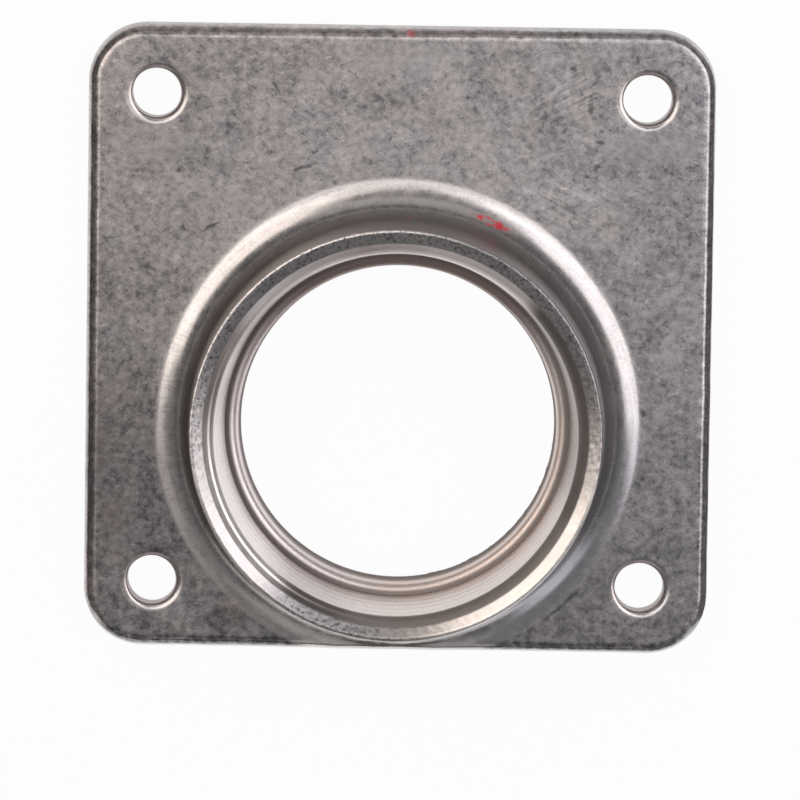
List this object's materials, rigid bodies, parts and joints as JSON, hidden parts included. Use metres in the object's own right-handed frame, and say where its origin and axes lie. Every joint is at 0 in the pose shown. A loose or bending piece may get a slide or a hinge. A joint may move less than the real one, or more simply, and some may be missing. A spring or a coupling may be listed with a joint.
{
  "type": "conduit hub",
  "caption": "Die-cast square plate with an off-centre threaded collar that joins rigid conduit to an enclosure, with corner screw holes and a rounded stop shoulder inside the bore.",
  "frame": {"origin": "middle of the plate's flat back face", "axes": "+Z out of the collar along its axis, +Y from the collar towards the wide end of the plate"},
  "size_m": [0.0814, 0.0814, 0.019],
  "materials": {
    "cast_metal": "bare die-cast, mottled grey"
  },
  "bodies": {
    "root": {"hub_casting": "cast_metal"}
  },
  "joints": []
}
